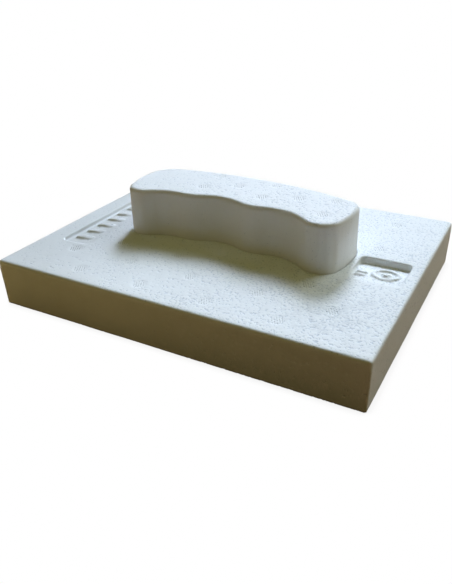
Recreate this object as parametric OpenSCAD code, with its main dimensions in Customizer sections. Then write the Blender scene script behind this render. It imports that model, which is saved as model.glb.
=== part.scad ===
// Plasterer's hand float in expanded polystyrene: a thick board and a hand grip glued into it.
// X runs along the board and Z is up. The origin is the centre of the sole.

/* [Board] */
// Length of the board at its top face
board_length = 270; // [250:1:320]
// Width of the board at its top face
board_width = 206; // [196:1:230]
// Thickness of the board
board_thickness = 35; // [25:1:50]
// How far each side leans in from the top face to the sole, for release from the mould
board_draft = 1.1; // [0.5:0.1:1.5]
// Radius of the upright corners at the top face
board_corner_radius = 2; // [2:0.5:6]

/* [Grip] */
// Length of the grip
grip_length = 173; // [168:1:178]
// Height of the grip above the board
grip_height = 35; // [25:1:45]
// Distance from the board's centre line to the back of the grip
palm_offset = 40; // [37:0.5:43]
// Radius of the long curve behind the palm
palm_radius = 300; // [260:5:340]
// Where along the board the palm curve bulges most
palm_peak = -12; // [-14:1:-4]
// Radius of the long curve of each end
end_radius = 80; // [60:5:100]
// How far behind the centre line the ends bulge most
end_peak = 8; // [4:1:12]
// Radius of the left corner behind the palm
left_corner_radius = 22; // [12:1:24]
// Radius of the right corner behind the palm
right_corner_radius = 12; // [8:1:20]
// Radius of the two lobes at the ends of the finger side
lobe_radius = 14; // [12:0.5:15]
// How far the left lobe stands in front of the centre line
left_lobe_reach = 22; // [20:0.5:24]
// How far the right lobe stands in front of the centre line
right_lobe_reach = 24.5; // [22:0.5:26]
// Radius of the two ridges between the finger grooves
ridge_radius = 27; // [24:0.5:29]
// How far the two ridges stand in front of the centre line
ridge_reach = 14.5; // [13.5:0.5:16]
// Where along the board the left ridge stands
left_ridge_place = -34.5; // [-36:0.5:-32]
// Where along the board the right ridge stands
right_ridge_place = 19.5; // [16:0.5:21]
// Radius of the three finger grooves
finger_radius = 36; // [30:0.5:42]
// Radius that rounds the top edge of the grip
rim_radius = 3.5; // [1:0.25:5]

/* [Glue joint] */
// Depth of the seat in the board that the grip stands in
seat_depth = 3; // [2:0.25:5]
// Gap all round between the grip and the seat
seat_gap = 0.15; // [0.05:0.05:0.5]
// Thickness of the glue under the grip
glue_thickness = 0.5; // [0.2:0.1:1]
// How far the glue stays back from the edge of the grip
glue_margin = 4; // [2:0.5:5]

/* [Sunk panels] */
// Length of the panel at the left end, across the board
panel_length = 110; // [90:2:130]
// Width of the panel at the left end
panel_width = 24; // [20:1:26]
// Distance from the left end of the board to the panel
panel_inset = 17; // [12:1:18]
// Depth of the panel at its outer edge
panel_depth = 3; // [2:0.25:5]
// Length of the pocket at the right end, along the board
pocket_length = 35; // [32:1:36]
// Width of the pocket, across the board
pocket_width = 34.5; // [30:0.5:38]
// Distance from the right end of the board to the pocket
pocket_inset = 9; // [8:0.5:10]
// Distance from the centre line to the back wall of the pocket
pocket_back = 14.5; // [8:0.5:18]
// Depth of the pocket at its back wall
pocket_depth = 5; // [4:0.25:8]
// Radius of the corners of the panel and the pocket
panel_corner_radius = 3; // [1:0.5:5]

/* [Raised marks] */
// Height of the raised marks on the sloping floors
mark_height = 1.5; // [0.5:0.1:2]
// Length of a bar in the left panel
bar_length = 15; // [10:1:15]
// Width of a bar in the left panel
bar_width = 5; // [3:0.5:8]
// Number of bars in the left panel
bar_count = 8; // [2:1:9]
// Distance from one bar to the next
bar_pitch = 12.5; // [9:0.5:13]
// Outer radius of the ring in the pocket
ring_radius = 9.5; // [7:0.5:10]

/* [Steam vents] */
// Radius of a steam vent's print
vent_radius = 5; // [3:0.5:6]
// Depth of a steam vent's print
vent_depth = 0.3; // [0.1:0.1:0.6]
// Distance between vents along the board
vent_pitch = 49; // [45:1:60]
// Distance between rows of vents on the board
vent_row_pitch = 23.4; // [20:0.2:30]

/* [Hidden] */
$fn = 96;

board_color = "#dfe9f2";
glue_color = "#d9cfa6";
grip_color = "#e8f1f8";

half_length = board_length / 2;
half_width = board_width / 2;
board_top = board_thickness;
seat_floor = board_top - seat_depth;
glue_top = seat_floor + glue_thickness;
grip_top = board_top + grip_height;
half_grip = grip_length / 2;
panel_edge = panel_inset + panel_width - half_length;
pocket_edge = half_length - pocket_inset - pocket_length;

// how far a vent's middle stays from the grip and the recesses
vent_margin = vent_radius + 2;

// extra length that carries a cutter clear of the surface it cuts
over = 1;

// the direction from one point to another
function heading(from, to) = atan2(to.y - from.y, to.x - from.x);

// the point at distance ra from point a and rb from point b, on the right when looking from a to b
function meeting(a, ra, b, rb) =
    let (gap = norm(b - a))
    let (along = (ra ^ 2 - rb ^ 2 + gap ^ 2) / (2 * gap))
    let (out = sqrt(ra ^ 2 - along ^ 2))
    a + along * (b - a) / gap + out * [(b - a).y, -(b - a).x] / gap;

// the centres of the long curves: the palm's, and the two ends'
palm_centre = [palm_peak, palm_offset - palm_radius];
left_end = [end_radius - half_grip, end_peak];
right_end = [half_grip - end_radius, end_peak];

// the centre of a lobe that touches an end's curve from inside, on the left with side = -1
function lobe_centre(end, side, reach) =
    let (y = lobe_radius - reach)
    [end.x + side * sqrt((end_radius - lobe_radius) ^ 2 - (y - end.y) ^ 2), y];

// the humps of the finger side, from left to right: the left lobe, two ridges and the right lobe
hump_radii = [lobe_radius, ridge_radius, ridge_radius, lobe_radius];
hump_centres = [
    lobe_centre(left_end, -1, left_lobe_reach),
    [left_ridge_place, ridge_radius - ridge_reach],
    [right_ridge_place, ridge_radius - ridge_reach],
    lobe_centre(right_end, 1, right_lobe_reach),
];

// each finger groove touches the humps on both sides of it
groove_centres = [
    for (i = [0:2])
        meeting(
            hump_centres[i], finger_radius + hump_radii[i],
            hump_centres[i + 1], finger_radius + hump_radii[i + 1])
];

// each corner behind the palm touches the palm curve and an end's curve from inside
left_corner = meeting(
    left_end, end_radius - left_corner_radius,
    palm_centre, palm_radius - left_corner_radius);
right_corner = meeting(
    palm_centre, palm_radius - right_corner_radius,
    right_end, end_radius - right_corner_radius);

// how far a chord may stray from the arc it stands for, and how many steps round the top edge takes
arc_error = 0.04;
rim_steps = 5;

// ---- Board ----

// The board without its recesses: upright walls that lean in towards the sole
module slab() {
    r = board_corner_radius;
    rotate([90, 0, 0])
        linear_extrude(board_width - 2 * r, center = true)
            leaning_section(half_length);
    rotate([90, 0, 90])
        linear_extrude(board_length - 2 * r, center = true)
            leaning_section(half_width);
    for (corner = [[1, 1, 0], [-1, 1, 90], [-1, -1, 180], [1, -1, 270]])
        translate([corner.x * (half_length - r), corner.y * (half_width - r), 0])
            rotate([0, 0, corner.z])
                rotate_extrude(angle = 90)
                    polygon([[0, 0], [r - board_draft, 0], [r, board_top], [0, board_top]]);
}

module leaning_section(half) {
    foot = half - board_draft;
    polygon([[-foot, 0], [foot, 0], [half, board_top], [-half, board_top]]);
}

// An upright block with rounded corners, from the origin to a far corner
module rounded_block(size, r) {
    translate([r, 0, 0])
        cube([size.x - 2 * r, size.y, size.z]);
    translate([0, r, 0])
        cube([size.x, size.y - 2 * r, size.z]);
    for (x = [r, size.x - r], y = [r, size.y - r])
        translate([x, y, 0])
            cylinder(h = size.z, r = r);
}

// A recess whose floor slopes up from its deep edge, along Y, to nothing at y = 0.
// lift raises the floor, which gives the tops of the marks.
module sloping_recess(size, depth, lift = 0) {
    intersection() {
        translate([0, 0, -depth])
            rounded_block([size.x, size.y, depth + over], panel_corner_radius);
        translate([-over, 0, lift])
            rotate([90, 0, 90])
                linear_extrude(size.x + 2 * over)
                    polygon([
                        [-over, depth / size.y * over],
                        [size.y + over, -depth * (size.y + over) / size.y],
                        [size.y + over, depth],
                        [-over, depth],
                    ]);
    }
}

// A recess with marks that stand on its sloping floor
module marked_recess(size, depth) {
    sloping_recess(size, depth, mark_height);
    difference() {
        sloping_recess(size, depth);
        children();
    }
}

module at_panel() {
    translate([panel_edge, -panel_length / 2, board_top])
        rotate([0, 0, 90])
            children();
}

module at_pocket() {
    translate([pocket_edge, pocket_back - pocket_width, board_top])
        children();
}

// A flat bar with round ends, centred on the origin and lying along X
module bar(length, width) {
    height = panel_depth + pocket_depth;
    translate([-length / 2 + width / 2, -width / 2, -height])
        cube([length - width, width, height]);
    for (side = [-1, 1])
        translate([side * (length - width) / 2, 0, -height])
            cylinder(h = height, d = width);
}

// The row of plain bars in the left panel, in the panel's own directions
module panel_marks() {
    bar_inset = 4;
    for (i = [0:bar_count - 1])
        translate([
            panel_length / 2 + (i - (bar_count - 1) / 2) * bar_pitch,
            panel_width - bar_inset - bar_length / 2,
            0,
        ])
            rotate([0, 0, 90])
                bar(bar_length, bar_width);
}

// The ring, its centre dot and two short bars in the pocket
module pocket_marks() {
    ring_place = [22, 17];
    bars_place = [6.5, 12];
    band = 2.5;
    dot_radius = 3;
    short_bar = [7, 2.5];
    translate([ring_place.x, ring_place.y, -pocket_depth]) {
        difference() {
            cylinder(h = pocket_depth, r = ring_radius);
            translate([0, 0, -over])
                cylinder(h = pocket_depth + 2 * over, r = ring_radius - band);
        }
        cylinder(h = pocket_depth, r = dot_radius);
    }
    for (step = [-1, 1])
        translate([bars_place.x, bars_place.y + step * short_bar.y, 0])
            bar(short_bar.x, short_bar.y);
}

// A vent's print, sunk into the face at z = 0
module vent() {
    translate([0, 0, -vent_depth])
        cylinder(h = vent_depth + over, r = vent_radius);
}

// whether a vent at a point clears a rectangle given by its low and high corners
function clears(p, low, high) =
    p.x < low.x - vent_margin || p.x > high.x + vent_margin
    || p.y < low.y - vent_margin || p.y > high.y + vent_margin;

// whether a vent at a point clears the grip, the panel and the pocket
function vent_is_clear(p) =
    clears(p, [-half_grip, -right_lobe_reach], [half_grip, palm_offset])
    && clears(p, [-half_length, -panel_length / 2], [panel_edge, panel_length / 2])
    && clears(p, [pocket_edge, pocket_back - pocket_width], [half_length, pocket_back]);

// The staggered rows of vents on the board's top face
module board_vents() {
    rows = 8;
    shift = -5;
    for (row = [0:rows - 1]) {
        vents = row % 2 == 0 ? 4 : 5;
        for (i = [0:vents - 1]) {
            place = [
                (i - (vents - 1) / 2) * vent_pitch,
                (row - (rows - 1) / 2) * vent_row_pitch + shift,
            ];
            if (vent_is_clear(place))
                translate([place.x, place.y, board_top])
                    vent();
        }
    }
}

module float_board() {
    color(board_color)
        difference() {
            slab();
            translate([0, 0, seat_floor])
                grip_block(seat_depth + over, seat_gap);
            board_vents();
            at_panel()
                marked_recess([panel_length, panel_width], panel_depth)
                    panel_marks();
            at_pocket()
                marked_recess([pocket_length, pocket_width], pocket_depth)
                    pocket_marks();
        }
}

// ---- Grip ----

// The outline's points along one arc, without its last point
function arc(centre, radius, grow, from, to) =
    let (steps = ceil(abs(to - from) / (2 * acos(1 - arc_error / radius))))
    [
        for (i = [0:steps - 1])
            let (angle = from + (to - from) * i / steps)
            centre + (radius + grow) * [cos(angle), sin(angle)]
    ];

// One hump of the finger side, between the directions of what it touches on the left and on the right
function hump(i, grow) = arc(
    hump_centres[i], hump_radii[i], grow,
    i == 0 ? heading(left_end, hump_centres[0]) : heading(hump_centres[i], groove_centres[i - 1]),
    i == 3 ? heading(right_end, hump_centres[3]) : heading(hump_centres[i], groove_centres[i]));

// One finger groove, between the directions of the humps beside it
function groove(i, grow) = arc(
    groove_centres[i], finger_radius, -grow,
    heading(groove_centres[i], hump_centres[i]), heading(groove_centres[i], hump_centres[i + 1]));

// The grip seen from above, grown outwards by a given amount, anticlockwise from its left lobe
function outline(grow) =
    let (right_bend = heading(right_end, right_corner))
    let (palm_right = heading(palm_centre, right_corner))
    let (palm_left = heading(palm_centre, left_corner))
    let (left_bend = heading(left_end, left_corner))
    concat(
        [for (i = [0:2]) each concat(hump(i, grow), groove(i, grow))],
        hump(3, grow),
        arc(right_end, end_radius, grow, heading(right_end, hump_centres[3]), right_bend),
        arc(right_corner, right_corner_radius, grow, right_bend, palm_right),
        arc(palm_centre, palm_radius, grow, palm_right, palm_left),
        arc(left_corner, left_corner_radius, grow, palm_left, left_bend),
        arc(left_end, end_radius, grow, left_bend, 360 + heading(left_end, hump_centres[0])));

// An upright block in the shape of the grip
module grip_block(height, grow) {
    linear_extrude(height)
        polygon(outline(grow));
}

// The grip's body: an upright wall that rounds over at the top edge. It stands above the top face,
// to be cut level.
module grip_body() {
    rim_start = grip_top - rim_radius;
    levels = concat(
        [[glue_top, 0]],
        [for (i = [0:rim_steps])
            let (angle = 90 * i / rim_steps)
            [rim_start + rim_radius * sin(angle), rim_radius * (cos(angle) - 1)]],
        [[grip_top + over, -rim_radius]]);
    rings = [for (level = levels) [for (p = outline(level[1])) [p.x, p.y, level[0]]]];
    count = len(rings[0]);
    last = (len(levels) - 1) * count;
    walls = [
        for (ring = [0:len(levels) - 2], i = [0:count - 1])
            let (next = (i + 1) % count)
            [ring * count + i, (ring + 1) * count + i, (ring + 1) * count + next, ring * count + next]
    ];
    polyhedron(
        points = [for (ring = rings) each ring],
        faces = concat(
            [[for (i = [0:count - 1]) i]],
            walls,
            [[for (i = [count - 1:-1:0]) last + i]]));
}

// The half of the mould that closes on top of the grip: a level plate, with the vents' prints under it.
// The vents are in pairs that follow the grip's bend, with a single one between two pairs.
module top_plate() {
    half_pair = 13;
    pair_middles = [[-30, 18.5], [18, 17.5], [68.5, 6]];
    singles = [[-7, 18], [43, 13]];
    pairs = [for (middle = pair_middles, side = [-1, 1]) middle + [0, side * half_pair]];
    translate([-half_length, -half_width, grip_top])
        cube([board_length, board_width, 2 * over]);
    for (place = concat(pairs, singles))
        translate([place.x, place.y, grip_top])
            vent();
}

module grip() {
    color(grip_color)
        difference() {
            grip_body();
            top_plate();
        }
}

module adhesive_bed() {
    color(glue_color)
        translate([0, 0, seat_floor])
            grip_block(glue_thickness, -glue_margin);
}

float_board();
adhesive_bed();
grip();
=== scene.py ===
"""A plasterer's hand float in expanded polystyrene, in metres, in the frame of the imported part.

The board and the grip start as copies of the part's own solids. Each copy is remeshed finely,
which softens its edges as moulded foam does, and the bead pattern is then pressed into it. The
same nodes make the pattern in the shape and in the material, so that what the light shows and
what the colour shows agree.
"""

import math

import bpy
import numpy as np
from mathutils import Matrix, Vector


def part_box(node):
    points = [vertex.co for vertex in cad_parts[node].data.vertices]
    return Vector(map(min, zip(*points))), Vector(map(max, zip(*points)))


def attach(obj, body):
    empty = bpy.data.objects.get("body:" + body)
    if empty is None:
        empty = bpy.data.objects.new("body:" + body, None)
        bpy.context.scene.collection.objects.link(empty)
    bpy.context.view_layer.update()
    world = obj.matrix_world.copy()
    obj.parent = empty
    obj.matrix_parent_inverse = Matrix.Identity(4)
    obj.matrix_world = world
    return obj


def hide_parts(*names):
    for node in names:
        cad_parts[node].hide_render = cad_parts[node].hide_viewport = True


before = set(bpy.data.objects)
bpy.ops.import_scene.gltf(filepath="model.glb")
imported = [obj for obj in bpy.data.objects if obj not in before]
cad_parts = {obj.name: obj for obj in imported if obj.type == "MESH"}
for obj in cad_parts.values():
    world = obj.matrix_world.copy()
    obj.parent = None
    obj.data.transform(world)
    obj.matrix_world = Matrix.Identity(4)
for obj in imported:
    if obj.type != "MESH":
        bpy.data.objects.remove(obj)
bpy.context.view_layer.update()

MM = 0.001

board_low, board_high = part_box("float_board")
grip_low, grip_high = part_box("grip")

# Foam shape
VOXEL = 0.8 * MM
SOFTENING = 2
RIM = 6.0 * MM
RIM_SOFTENING = 40
CORNER_WEAR = 2.5 * MM
CORNER_GIVE = 0.85

# Bead pattern: its sizes, and the attribute that holds a point's place in the foam
PLACE = "foam_place"
BEAD = 2.6 * MM
BEND_SIZE = 2.2 * BEAD
BEND_REACH = 0.35 * BEAD
SEAM_WIDTH = 0.16
GAP_WIDTH = 0.25
GAP_SIZE = 1.4 * MM
PATCH_SIZE = 4 * MM
CROWD_SIZE = 40 * MM
WAVE_SIZE = 45 * MM

# Bead pattern: how deep it is pressed
SEAM_DEPTH = 0.03 * MM
LEVEL_STEP = 0.04 * MM
GAP_DEPTH = 0.25 * MM
WAVE_HEIGHT = 0.5 * MM
WAVE_DEPTH = 0.45 * MM

# Bead pattern: how it changes along the board, from the left to the right
ROUGH_SPAN = (-120 * MM, 130 * MM)
SMOOTHEST = 0.2
GAP_SPAN = (-130 * MM, 130 * MM)
GAP_TREND = (-0.04, 0.06)

# Steam vents
VENT_RADIUS = 5.0 * MM
VENT_DEPTH = 0.3 * MM
PIP_RADIUS = 0.45 * MM
PIP_HEIGHT = 0.30 * MM
PIP_PITCH = 1.75 * MM
PIP_ROOT = 0.3 * MM
PIP_HEXAGONS = 2
PIP_SIDES = 8
PIP_RINGS = 3

# Glue
GLUE_STEPS = 240
GLUE_SPREAD = 0.93
GLUE_FILL = 0.98
GLUE_ROUNDING = 0.006

# Finish
SMUDGE_PLACE = (0.093, -0.058, board_high.z)
SMUDGE_REACH = 30 * MM
SMUDGE_FRAY = 16 * MM
STREAK_SIZE = 3 * MM
# Painted shade: where and how much the skin is darkened towards its left and right ends
LEFT_SHADE_SPAN = (-140 * MM, -20 * MM)
LEFT_SHADE_AMOUNT = 0.14
RIGHT_SHADE_SPAN = (80 * MM, 135 * MM)
RIGHT_SHADE_AMOUNT = 0.03
CLOUD_SIZE = 30 * MM
SKIN_SIZE = 0.5 * MM
BUMP_HEIGHT = 0.05 * MM
SKIN_BUMP, SEAM_BUMP, LEVEL_BUMP, GAP_BUMP = 0.15, 0.5, 0.3, 1.8
LEVEL_SHADE, GAP_SHADE, SMUDGE_SHADE = 0.4, 0.35, 0.3
LEVEL_DARKNESS = 0.96
SPECULAR = 0.3
ROUGHNESS = 0.62
LEVEL_ROUGHNESS = 0.15
BOARD_TINT = (0.86, 0.88, 0.89, 1)
GRIP_TINT = (0.89, 0.90, 0.91, 1)
# Painted shade: the dark blue-grey that the gaps between beads are tinted with
GAP_SHADE_TINT = (0.28, 0.36, 0.48, 1)
GRIME_TINT = (0.58, 0.57, 0.52, 1)
SMUDGE_TINT = (0.50, 0.53, 0.56, 1)
BLACK = (0, 0, 0, 1)
GLUE_TINTS = (0.80, 0.74, 0.55, 1), (0.66, 0.58, 0.38, 1)
GLUE_LUMP = 4 * MM
GLUE_BUMP = 0.2 * MM

# Stage
FLOOR_REACH = 3.0
FLOOR_DROP = 0.2 * MM
WHITE = (1.0, 1.0, 1.0, 1)
CONTACT_TINT = (0.88, 0.875, 0.87, 1)
CONTACT_REACH = 8 * MM
FLOOR_GLOW = (0.48, 0.30, 0.09, 1), (0.175, 0.09, 0.045, 1)
GLOW_SPAN = (-200 * MM, 150 * MM)
HORIZON = (0.052, 0.027, 0.028, 1)
ZENITH = (0.150, 0.143, 0.034, 1)
CAMERA_LENS = 37.92
CAMERA_SHIFT = (-0.0321, -0.0445)
CAMERA_PLACE = (0.1997, -0.3599, 0.2240)
CAMERA_TURN = (62.836, 0.901, 27.808)


# ---- Small helpers ----


class Nodes:
    """Adds nodes to a shader tree or a geometry tree, and links their inputs."""

    def __init__(self, tree):
        self.tree = tree
        self.tree.nodes.clear()

    def add(self, kind, inputs=None, **settings):
        node = self.tree.nodes.new(kind)
        for name, value in settings.items():
            setattr(node, name, value)
        for key, value in (inputs or {}).items():
            self.set(node.inputs[key], value)
        return node

    def set(self, socket, value):
        if isinstance(value, bpy.types.NodeSocket):
            self.tree.links.new(value, socket)
        else:
            socket.default_value = value

    def math(self, operation, a, b=0.0, c=0.0):
        node = self.add("ShaderNodeMath", {0: a, 1: b, 2: c}, operation=operation)
        return node.outputs[0]

    def scaled(self, vector, factor):
        inputs = {0: vector, "Scale": factor}
        return self.add("ShaderNodeVectorMath", inputs, operation="SCALE").outputs[0]

    def part(self, vector, axis):
        """One part of a vector: its X, Y or Z."""
        return self.add("ShaderNodeSeparateXYZ", {0: vector}).outputs[axis]

    def ramp(self, value, low, high, to_low=0.0, to_high=1.0):
        """A smooth step from to_low, at low, to to_high, at high."""
        inputs = {"Value": value, "From Min": low, "From Max": high}
        inputs |= {"To Min": to_low, "To Max": to_high}
        node = self.add("ShaderNodeMapRange", inputs, interpolation_type="SMOOTHSTEP")
        return node.outputs["Result"]

    def noise(self, place, size, detail=2.0, roughness=0.5):
        """Noise from about 0.25 to 0.75, whose lumps are about size across."""
        inputs = {"Vector": place, "Scale": 1 / size, "Detail": detail, "Roughness": roughness}
        return self.add("ShaderNodeTexNoise", inputs).outputs["Fac"]

    def mix(self, factor, a, b):
        node = self.add("ShaderNodeMix", data_type="RGBA")
        self.set(node.inputs[0], factor)
        self.set(node.inputs[6], a)
        self.set(node.inputs[7], b)
        return node.outputs[2]


def bead_pattern(nodes, place, normal):
    """The beads at a place in the foam: their seams, each bead's own level, and where gaps are.

    The skin gets rougher towards the right end. Gaps open where beads meet loosely, in level
    faces more than in walls.
    """
    inputs = {"Vector": place, "Scale": 1 / BEND_SIZE, "Detail": 1.0}
    bend = nodes.scaled(nodes.add("ShaderNodeTexNoise", inputs).outputs["Color"], BEND_REACH)
    place = nodes.add("ShaderNodeVectorMath", {0: place, 1: bend}, operation="ADD").outputs[0]
    inputs = {"Vector": place, "Scale": 1 / BEAD, "Randomness": 0.9}
    edge = nodes.add("ShaderNodeTexVoronoi", inputs, feature="DISTANCE_TO_EDGE")
    edge = edge.outputs["Distance"]
    cell = nodes.add("ShaderNodeTexVoronoi", inputs, feature="F1")
    own = nodes.part(cell.outputs["Color"], "X")
    x = nodes.part(place, "X")
    up = nodes.math("ABSOLUTE", nodes.part(normal, "Z"))

    rough = nodes.ramp(x, *ROUGH_SPAN, SMOOTHEST, 1.0)
    rough = nodes.math("MULTIPLY", rough, nodes.ramp(up, 0.3, 0.9, 0.25, 1.0))
    patchy = nodes.ramp(nodes.noise(place, PATCH_SIZE), 0.35, 0.65, 0.3, 1.0)
    seam = nodes.ramp(edge, 0.0, SEAM_WIDTH, 1.0, 0.0)
    seam = nodes.math("MULTIPLY", seam, nodes.math("MULTIPLY", rough, patchy))
    level = nodes.math("MULTIPLY", own, rough)

    upright = nodes.ramp(up, 0.5, 0.9, -0.12, 0.0)
    crowd = nodes.ramp(nodes.noise(place, CROWD_SIZE), 0.35, 0.65, -0.03, 0.03)
    along = nodes.ramp(x, *GAP_SPAN, *GAP_TREND)
    density = nodes.math("ADD", nodes.math("ADD", along, crowd), upright)
    spot = nodes.math("ADD", nodes.noise(place, GAP_SIZE, 1.0), density)
    gap = nodes.ramp(edge, 0.0, GAP_WIDTH, 1.0, 0.0)
    gap = nodes.math("MULTIPLY", gap, nodes.ramp(spot, 0.58, 0.68))
    return seam, level, gap


# ---- Foam shapes ----


def press_beads():
    """Geometry nodes that press the bead pattern into a mesh.

    They also keep each point's first place, for the material.
    """
    tree = bpy.data.node_groups.new("press_beads", "GeometryNodeTree")
    for side in ("INPUT", "OUTPUT"):
        tree.interface.new_socket("Geometry", in_out=side, socket_type="NodeSocketGeometry")
    nodes = Nodes(tree)
    source = nodes.add("NodeGroupInput").outputs[0]
    place = nodes.add("GeometryNodeInputPosition").outputs[0]
    normal = nodes.add("GeometryNodeInputNormal").outputs[0]
    stored = nodes.add(
        "GeometryNodeStoreNamedAttribute",
        {"Geometry": source, "Name": PLACE, "Value": place},
        data_type="FLOAT_VECTOR",
        domain="POINT",
    )
    seam, level, gap = bead_pattern(nodes, place, normal)
    seam = nodes.math("MULTIPLY", seam, -SEAM_DEPTH)
    level = nodes.math("MULTIPLY_ADD", level, LEVEL_STEP, -LEVEL_STEP)
    wave = nodes.math("MULTIPLY_ADD", nodes.noise(place, WAVE_SIZE), WAVE_HEIGHT, -WAVE_DEPTH)
    hole = nodes.math("MULTIPLY", gap, -GAP_DEPTH)
    height = nodes.math("ADD", nodes.math("ADD", seam, level), nodes.math("ADD", wave, hole))
    moved = nodes.add(
        "GeometryNodeSetPosition",
        {"Geometry": stored.outputs[0], "Offset": nodes.scaled(normal, height)},
    )
    nodes.add("NodeGroupOutput", {0: moved.outputs[0]})
    return tree


def press(piece, beads):
    piece.modifiers.new("beads", "NODES").node_group = beads
    settle(piece)


def foam_piece(node, name):
    """A new piece in the shape of a CAD node, remeshed finely."""
    piece = bpy.data.objects.new(name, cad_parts[node].data.copy())
    bpy.context.scene.collection.objects.link(piece)
    piece.data.materials.clear()
    remesh = piece.modifiers.new("remesh", "REMESH")
    remesh.mode = "VOXEL"
    remesh.voxel_size = VOXEL
    remesh.use_smooth_shade = True
    piece.modifiers.new("soften", "SMOOTH").iterations = SOFTENING
    settle(piece)
    return piece


def round_rim(piece, high):
    """Rounds the edge between a piece's top and its sides."""
    points = points_of(piece.data)
    outer = (np.abs(points[:, :2]) > np.array(high)[:2] - RIM).any(1)
    rim = outer & (points[:, 2] > high.z - RIM)
    piece.vertex_groups.new(name="rim").add(np.flatnonzero(rim).tolist(), 1.0, "REPLACE")
    soften = piece.modifiers.new("soften", "SMOOTH")
    soften.iterations = RIM_SOFTENING
    soften.vertex_group = "rim"
    settle(piece)


def settle(piece):
    """Applies a piece's modifiers."""
    evaluated = piece.evaluated_get(bpy.context.evaluated_depsgraph_get())
    mesh = bpy.data.meshes.new_from_object(evaluated)
    piece.modifiers.clear()
    old = piece.data
    piece.data = mesh
    bpy.data.meshes.remove(old)


def points_of(mesh):
    points = np.zeros(len(mesh.vertices) * 3, np.float32)
    mesh.vertices.foreach_get("co", points)
    return points.reshape(-1, 3).astype(float)


def set_points(mesh, points):
    mesh.vertices.foreach_set("co", points.astype(np.float32).ravel())
    mesh.update()


def wear_corner(piece, corner, outwards):
    """Flattens a corner that has been knocked.

    Points beyond a slanted plane through the foam go most of the way back to it.
    """
    points = points_of(piece.data)
    outwards = np.array(Vector(outwards).normalized())
    beyond = (points - np.array(corner)) @ outwards + CORNER_WEAR
    points -= np.outer(np.clip(beyond, 0, None) * CORNER_GIVE, outwards)
    set_points(piece.data, points)


def keep_inside(piece, low, high):
    """Holds a piece's points inside a box."""
    set_points(piece.data, np.clip(points_of(piece.data), np.array(low), np.array(high)))


def vent_centres(node, top, piece):
    """The middles of the round vent prints in a node's top face, at the height of its foam.

    They are found from the rims of the prints' floors in the CAD node.
    """
    foam = points_of(piece.data)
    foam = foam[foam[:, 2] > top - 3 * VENT_DEPTH]
    points = points_of(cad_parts[node].data)
    floor = points[np.abs(points[:, 2] - (top - VENT_DEPTH)) < 0.01 * MM]
    centres = []
    while len(floor):
        near = np.linalg.norm(floor[:, :2] - floor[0, :2], axis=1) < 2.1 * VENT_RADIUS
        centre = (floor[near].min(0) + floor[near].max(0)) / 2
        reach = np.linalg.norm(floor[near][:, :2] - centre[:2], axis=1).max()
        if abs(reach - VENT_RADIUS) < 0.1 * MM and near.sum() > 12:
            under = np.linalg.norm(foam[:, :2] - centre[:2], axis=1) < VENT_RADIUS / 2
            centres.append((centre[0], centre[1], foam[under][:, 2].mean()))
        floor = floor[~near]
    return centres


def pip_places():
    """Where the pips of one vent stand: a middle one and the hexagons round it."""
    places = []
    steps = range(-PIP_HEXAGONS, PIP_HEXAGONS + 1)
    for row in steps:
        for i in steps:
            x = (i + row / 2) * PIP_PITCH
            y = row * PIP_PITCH * math.sqrt(3) / 2
            if math.hypot(x, y) < (PIP_HEXAGONS + 0.1) * PIP_PITCH:
                places.append((x, y))
    return places


def vent_pips(name, centres):
    """The little domes that foam leaves in the holes of the steam vents."""
    points, faces = [], []
    for centre in centres:
        for x, y in pip_places():
            add_pip(points, faces, centre[0] + x, centre[1] + y, centre[2])
    piece = new_piece(name, points, faces)
    place = piece.data.attributes.new(PLACE, "FLOAT_VECTOR", "POINT")
    place.data.foreach_set("vector", np.array(points, np.float32).ravel())
    return piece


def add_pip(points, faces, x, y, z):
    """Adds one dome to lists of points and faces: rings of points, a tip and a flat foot."""
    first = len(points)
    for ring in range(PIP_RINGS):
        angle = math.pi / 2 * ring / PIP_RINGS
        for side in range(PIP_SIDES):
            turn = 2 * math.pi * side / PIP_SIDES
            points.append((
                x + PIP_RADIUS * math.cos(angle) * math.cos(turn),
                y + PIP_RADIUS * math.cos(angle) * math.sin(turn),
                z - PIP_ROOT + (PIP_HEIGHT + PIP_ROOT) * math.sin(angle),
            ))
    tip = len(points)
    points.append((x, y, z + PIP_HEIGHT))
    for ring in range(PIP_RINGS - 1):
        for side in range(PIP_SIDES):
            a = first + ring * PIP_SIDES + side
            b = first + ring * PIP_SIDES + (side + 1) % PIP_SIDES
            faces.append((a, b, b + PIP_SIDES, a + PIP_SIDES))
    last = tip - PIP_SIDES
    for side in range(PIP_SIDES):
        faces.append((last + side, last + (side + 1) % PIP_SIDES, tip))
    faces.append(tuple(first + side for side in reversed(range(PIP_SIDES))))


def new_piece(name, points, faces):
    """A new piece with smooth shading."""
    mesh = bpy.data.meshes.new(name)
    mesh.from_pydata(points, [], faces)
    mesh.shade_smooth()
    piece = bpy.data.objects.new(name, mesh)
    bpy.context.scene.collection.objects.link(piece)
    return piece


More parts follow.
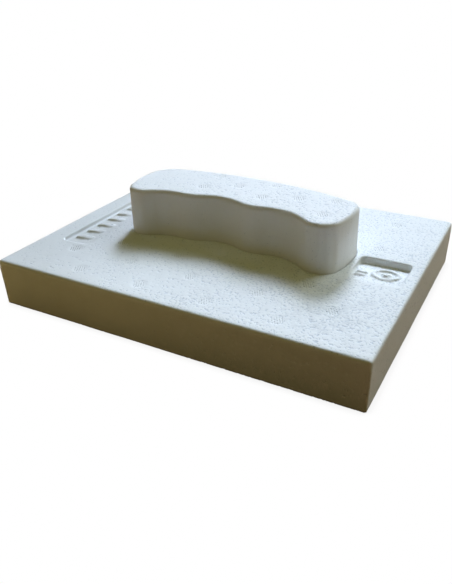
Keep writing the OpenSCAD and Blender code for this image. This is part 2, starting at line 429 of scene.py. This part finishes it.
def glue_film(node, name):
    """Glue squeezed flat between the board and the grip, inside its CAD node.

    Its outline is uneven and its edge is rounded.
    """
    points = points_of(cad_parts[node].data)
    middle = (points.min(0) + points.max(0)) / 2
    turns = np.arctan2(points[:, 1] - middle[1], points[:, 0] - middle[0])
    rim = points[np.argsort(turns)]
    turns = np.sort(turns)
    angles = np.linspace(-math.pi, math.pi, GLUE_STEPS, endpoint=False)
    reach = np.linalg.norm(rim[:, :2] - middle[:2], axis=1)
    reach = np.interp(angles, turns, reach, period=2 * math.pi)
    bays = 0.05 * np.sin(7 * angles + 1.0) * np.sin(11 * angles)
    reach *= GLUE_SPREAD - bays - 0.02 * np.sin(31 * angles)

    half = (points[:, 2].max() - middle[2]) * GLUE_FILL
    flat = [(0.35, half), (0.7, half), (1 - GLUE_ROUNDING, half)]
    rings = [*flat, (1.0, half * 0.5), (1.0, -half * 0.5)]
    rings += [(share, -height) for share, height in reversed(flat)]
    corners = []
    for share, height in rings:
        out = np.stack([np.cos(angles), np.sin(angles)], 1) * (reach * share)[:, None]
        ring = np.column_stack([out + middle[:2], np.full(GLUE_STEPS, middle[2] + height)])
        corners.extend(map(tuple, ring))
    faces = []
    for ring in range(len(rings) - 1):
        for i in range(GLUE_STEPS):
            a = ring * GLUE_STEPS + i
            b = ring * GLUE_STEPS + (i + 1) % GLUE_STEPS
            faces.append((a, a + GLUE_STEPS, b + GLUE_STEPS, b))
    last = (len(rings) - 1) * GLUE_STEPS
    faces.append(tuple(range(GLUE_STEPS)))
    faces.append(tuple(reversed(range(last, last + GLUE_STEPS))))
    return new_piece(name, corners, faces)


# ---- Materials ----


def new_material(name):
    material = bpy.data.materials.new(name)
    material.use_nodes = True
    return material, Nodes(material.node_tree)


def finish_material(nodes, color, roughness, height, distance):
    """Ends a material: a rough plastic surface with a bump."""
    inputs = {"Height": height, "Distance": distance, "Strength": 1.0}
    bump = nodes.add("ShaderNodeBump", inputs)
    inputs = {"Base Color": color, "Roughness": roughness, "Specular IOR Level": SPECULAR}
    inputs["Normal"] = bump.outputs[0]
    shader = nodes.add("ShaderNodeBsdfPrincipled", inputs)
    nodes.add("ShaderNodeOutputMaterial", {"Surface": shader.outputs[0]})


def smudge(nodes, place):
    """A rubbed grey patch in the board's top: 1 in its middle, 0 outside.

    It lies near the right end of the finger side.
    """
    inputs = {0: place, 1: SMUDGE_PLACE}
    away = nodes.add("ShaderNodeVectorMath", inputs, operation="DISTANCE").outputs["Value"]
    fray = nodes.noise(place, SMUDGE_FRAY, 4.0, 0.7)
    fray = nodes.ramp(fray, 0.3, 0.7, -SMUDGE_FRAY, SMUDGE_FRAY)
    frayed = nodes.math("ADD", away, fray)
    streaks = nodes.ramp(nodes.noise(place, STREAK_SIZE, 3.0, 0.7), 0.35, 0.65, 0.2, 1.0)
    rubbed = nodes.ramp(frayed, 0.3 * SMUDGE_REACH, SMUDGE_REACH, 1.0, 0.0)
    return nodes.math("MULTIPLY", rubbed, streaks)


def painted_end_shade(nodes, place):
    """Painted shade on the skin: darkest at the left end, where less light falls, and a little
    darker at the right.
    """
    x = nodes.part(place, "X")
    left = nodes.ramp(x, *LEFT_SHADE_SPAN, LEFT_SHADE_AMOUNT, 0.0)
    return nodes.math("ADD", left, nodes.ramp(x, *RIGHT_SHADE_SPAN, 0.0, RIGHT_SHADE_AMOUNT))


def foam_material(name, tint, grime, end_shade):
    """White bead foam: pressed beads with fine seams, painted shade in the gaps between them, and
    grime.

    The last two values say how much grime it has and how strongly painted shade darkens its ends.
    """
    material, nodes = new_material(name)
    place = nodes.add("ShaderNodeAttribute", attribute_name=PLACE).outputs["Vector"]
    normal = nodes.add("ShaderNodeNewGeometry").outputs["Normal"]
    seam, level, gap = bead_pattern(nodes, place, normal)

    shaded = [c * LEVEL_DARKNESS for c in tint[:3]] + [1]
    color = nodes.mix(nodes.math("MULTIPLY", level, LEVEL_SHADE), tint, shaded)
    # Painted shade: the gaps between beads are darkened
    color = nodes.mix(nodes.math("MULTIPLY", gap, GAP_SHADE), color, GAP_SHADE_TINT)
    cloud = nodes.ramp(nodes.noise(place, CLOUD_SIZE, 4.0, 0.6), 0.45, 0.75)
    color = nodes.mix(nodes.math("MULTIPLY", cloud, grime), color, GRIME_TINT)
    rubbed = nodes.math("MULTIPLY", smudge(nodes, place), SMUDGE_SHADE)
    color = nodes.mix(rubbed, color, SMUDGE_TINT)
    # Painted shade: the skin is darkened towards its ends
    end_shade_mix = nodes.math("MULTIPLY", painted_end_shade(nodes, place), end_shade)
    color = nodes.mix(end_shade_mix, color, BLACK)

    skin = nodes.math("MULTIPLY", nodes.noise(place, SKIN_SIZE), SKIN_BUMP)
    height = nodes.math("SUBTRACT", skin, nodes.math("MULTIPLY", seam, SEAM_BUMP))
    height = nodes.math("ADD", height, nodes.math("MULTIPLY", level, LEVEL_BUMP))
    height = nodes.math("SUBTRACT", height, nodes.math("MULTIPLY", gap, GAP_BUMP))
    roughness = nodes.math("MULTIPLY_ADD", level, LEVEL_ROUGHNESS, ROUGHNESS)
    finish_material(nodes, color, roughness, height, BUMP_HEIGHT)
    return material


def glue_material():
    """Dried glue: pale yellow, a little glossy and uneven."""
    material, nodes = new_material("glue")
    place = nodes.add("ShaderNodeTexCoord").outputs["Object"]
    lumps = nodes.noise(place, GLUE_LUMP, 3.0)
    color = nodes.mix(lumps, *GLUE_TINTS)
    roughness = nodes.ramp(lumps, 0.3, 0.7, 0.3, 0.5)
    finish_material(nodes, color, roughness, lumps, GLUE_BUMP)
    return material


# ---- Stage ----


def seen_and_lit(nodes, seen, lit):
    """What the camera sees, and what the light bounces from."""
    path = nodes.add("ShaderNodeLightPath").outputs["Is Camera Ray"]
    return nodes.add("ShaderNodeMixShader", {0: path, 1: lit, 2: seen}).outputs[0]


def build_floor():
    """A floor that looks white, with a faint contact shade, and reflects a dim warm light."""
    mesh = bpy.data.meshes.new("floor")
    signs = (-1, -1), (1, -1), (1, 1), (-1, 1)
    corners = [(x * FLOOR_REACH, y * FLOOR_REACH, 0) for x, y in signs]
    mesh.from_pydata(corners, [], [(0, 1, 2, 3)])
    floor = bpy.data.objects.new("floor", mesh)
    floor.location.z = -FLOOR_DROP
    bpy.context.scene.collection.objects.link(floor)
    material, nodes = new_material("floor")
    contact = nodes.add("ShaderNodeAmbientOcclusion", {"Distance": CONTACT_REACH}, samples=16)
    shade = nodes.ramp(contact.outputs["AO"], 0.3, 0.9)
    color = nodes.mix(shade, CONTACT_TINT, WHITE)
    seen = nodes.add("ShaderNodeEmission", {"Color": color}).outputs[0]
    x = nodes.part(nodes.add("ShaderNodeNewGeometry").outputs["Position"], "X")
    bounced = nodes.mix(nodes.ramp(x, *GLOW_SPAN), *FLOOR_GLOW)
    lit = nodes.add("ShaderNodeBsdfDiffuse", {"Color": bounced}).outputs[0]
    nodes.add("ShaderNodeOutputMaterial", {"Surface": seen_and_lit(nodes, seen, lit)})
    mesh.materials.append(material)


def build_world():
    """A dim warm room for the light, darker towards the horizon, and a white backdrop."""
    world = bpy.data.worlds.new("room")
    world.use_nodes = True
    bpy.context.scene.world = world
    nodes = Nodes(world.node_tree)
    seen = nodes.add("ShaderNodeBackground", {"Color": WHITE, "Strength": 1.0}).outputs[0]
    up = nodes.part(nodes.add("ShaderNodeTexCoord").outputs["Generated"], "Z")
    color = nodes.mix(nodes.ramp(up, 0.0, 0.9), HORIZON, ZENITH)
    lit = nodes.add("ShaderNodeBackground", {"Color": color, "Strength": 1.0}).outputs[0]
    nodes.add("ShaderNodeOutputWorld", {"Surface": seen_and_lit(nodes, seen, lit)})


def add_light(name, place, aim, size, power, color, spread=180):
    """A soft light of a width and a height.

    It weakens away from the line to its aim, up to half its spread, which is in degrees.
    """
    light = bpy.data.lights.new(name, "AREA")
    light.shape = "RECTANGLE"
    light.size, light.size_y = size
    light.energy = power
    light.color = color
    light.spread = math.radians(spread)
    lamp = bpy.data.objects.new(name, light)
    lamp.location = place
    lamp.rotation_euler = (Vector(place) - Vector(aim)).to_track_quat("Z", "Y").to_euler()
    bpy.context.scene.collection.objects.link(lamp)


def build_lights():
    """Two cool windows behind the float, and weak warm lights at its right and its left."""
    add_light(
        "window", (-0.57, 2.22, 1.90), (0.05, 0.02, 0),
        size=(0.7, 1.5), power=5.0, color=(0.67, 0.785, 1.0), spread=30,
    )
    add_light(
        "near_window", (0.50, 0.94, 0.86), (0, 0, 0),
        size=(0.6, 0.6), power=7.6, color=(0.78, 0.90, 1.0),
    )
    add_light(
        "room", (0.85, 0.38, 0.15), (0, 0, 0),
        size=(0.5, 0.5), power=0.85, color=(1.0, 0.95, 0.55),
    )
    add_light(
        "door", (-0.42, -0.28, 0.16), (0, -0.03, 0),
        size=(0.25, 0.25), power=0.085, color=(1.0, 0.84, 0.5),
    )


def build_camera():
    camera = bpy.data.cameras.new("camera")
    camera.lens = CAMERA_LENS
    camera.shift_x, camera.shift_y = CAMERA_SHIFT
    eye = bpy.data.objects.new("camera", camera)
    eye.location = CAMERA_PLACE
    eye.rotation_euler = [math.radians(a) for a in CAMERA_TURN]
    bpy.context.scene.collection.objects.link(eye)
    bpy.context.scene.camera = eye


# ---- The float ----

beads = press_beads()
board = foam_piece("float_board", "board")
round_rim(board, board_high)
press(board, beads)
wear_corner(board, (board_high.x, board_low.y, board_low.z), (1, -1, -1))
keep_inside(board, board_low, board_high)
grip = foam_piece("grip", "handle_grip")
press(grip, beads)
keep_inside(grip, grip_low, grip_high)

board_foam = foam_material("board_foam", BOARD_TINT, grime=0.10, end_shade=1.0)
grip_foam = foam_material("grip_foam", GRIP_TINT, grime=0.03, end_shade=0.0)
board_pips = vent_pips("board_vent_pips", vent_centres("float_board", board_high.z, board))
grip_pips = vent_pips("grip_vent_pips", vent_centres("grip", grip_high.z, grip))
glue = glue_film("adhesive_bed", "glue_film")

for piece, material, slot in (
    (board, board_foam, "board_foam"),
    (board_pips, board_foam, "board_foam"),
    (grip, grip_foam, "grip_foam"),
    (grip_pips, grip_foam, "grip_foam"),
    (glue, glue_material(), "glue"),
):
    piece.data.materials.append(material)
    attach(piece, "root")
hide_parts("float_board")
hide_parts("grip")
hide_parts("adhesive_bed")

build_floor()
build_world()
build_lights()
build_camera()
bpy.context.scene.view_settings.view_transform = "Standard"
